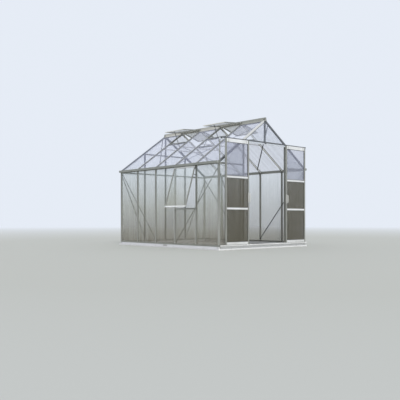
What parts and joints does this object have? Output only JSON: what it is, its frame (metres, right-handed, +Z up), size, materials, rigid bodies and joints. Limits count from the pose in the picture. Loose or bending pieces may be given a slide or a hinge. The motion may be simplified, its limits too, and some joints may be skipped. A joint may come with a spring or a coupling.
{
  "type": "polycarbonate greenhouse",
  "caption": "Gable-roof greenhouse with an aluminium frame, twin-wall sheets, sliding front doors, open roof vents and a side vent.",
  "frame": {"origin": "on the ground, in the middle of the door gable's outer face, on the underside of the front base rail", "axes": "+X across the gable to the right seen from outside the doors, +Y from the doors to the back, +Z up"},
  "size_m": [2.852, 3.288, 2.582],
  "materials": {
    "base_steel": "galvanised sheet steel",
    "brace_steel": "galvanised flat bar",
    "bar_aluminium": "plain extruded",
    "door_aluminium": "plain extruded, bright",
    "wall_sheet": "twin-wall polycarbonate",
    "roof_sheet": "twin-wall polycarbonate",
    "door_sheet": "twin-wall polycarbonate",
    "cap_plastic": "moulded",
    "roller_nylon": "moulded nylon on steel",
    "handle_plastic": "moulded"
  },
  "bodies": {
    "house": {"side_base_rails": "base_steel", "end_base_rails": "base_steel", "wall_braces": "brace_steel", "gable_braces": "brace_steel", "roof_braces": "brace_steel", "collar_ties": "brace_steel", "eave_cleats": "brace_steel", "ridge_cleats": "brace_steel", "roof_vent_stays": "brace_steel", "side_vent_arms": "brace_steel", "track_struts": "brace_steel", "side_sills": "bar_aluminium", "end_sills": "bar_aluminium", "corner_posts": "bar_aluminium", "wall_bars": "bar_aluminium", "left_gutter": "bar_aluminium", "right_gutter": "bar_aluminium", "ridge_beam": "bar_aluminium", "rafters": "bar_aluminium", "gable_rafters": "bar_aluminium", "door_posts": "bar_aluminium", "back_posts": "bar_aluminium", "front_ridge_post": "bar_aluminium", "door_header": "bar_aluminium", "gable_rails": "bar_aluminium", "back_rails": "bar_aluminium", "roof_vent_sills": "bar_aluminium", "side_vent_sill": "bar_aluminium", "roof_vent_rails": "bar_aluminium", "roof_vent_stiles": "bar_aluminium", "side_vent_rails": "bar_aluminium", "side_vent_stiles": "bar_aluminium", "door_track": "bar_aluminium", "door_guide": "bar_aluminium", "left_wall_sheets": "wall_sheet", "right_wall_sheets": "wall_sheet", "back_gable_sheets": "wall_sheet", "side_vent_sheet": "wall_sheet", "left_roof_sheets": "roof_sheet", "right_roof_sheets": "roof_sheet", "front_gable_sheets": "roof_sheet", "roof_vent_sheets": "roof_sheet", "gutter_end_caps": "cap_plastic", "ridge_end_caps": "cap_plastic"},
    "left_door": {"left_door_stiles": "bar_aluminium", "left_door_rails": "door_aluminium", "left_door_sheets": "door_sheet", "left_door_rollers": "roller_nylon", "left_door_skids": "roller_nylon", "left_door_handle": "handle_plastic"},
    "right_door": {"right_door_stiles": "bar_aluminium", "right_door_rails": "door_aluminium", "right_door_sheets": "door_sheet", "right_door_rollers": "roller_nylon", "right_door_skids": "roller_nylon", "right_door_handle": "handle_plastic"}
  },
  "joints": [
    {"name": "left_door_slide", "type": "slide", "parent": "house", "child": "left_door", "axis": [-1, 0, 0], "range_m": [-0.512, 0.1]},
    {"name": "right_door_slide", "type": "slide", "parent": "house", "child": "right_door", "axis": [1, 0, 0], "range_m": [-0.572, 0.04]}
  ]
}
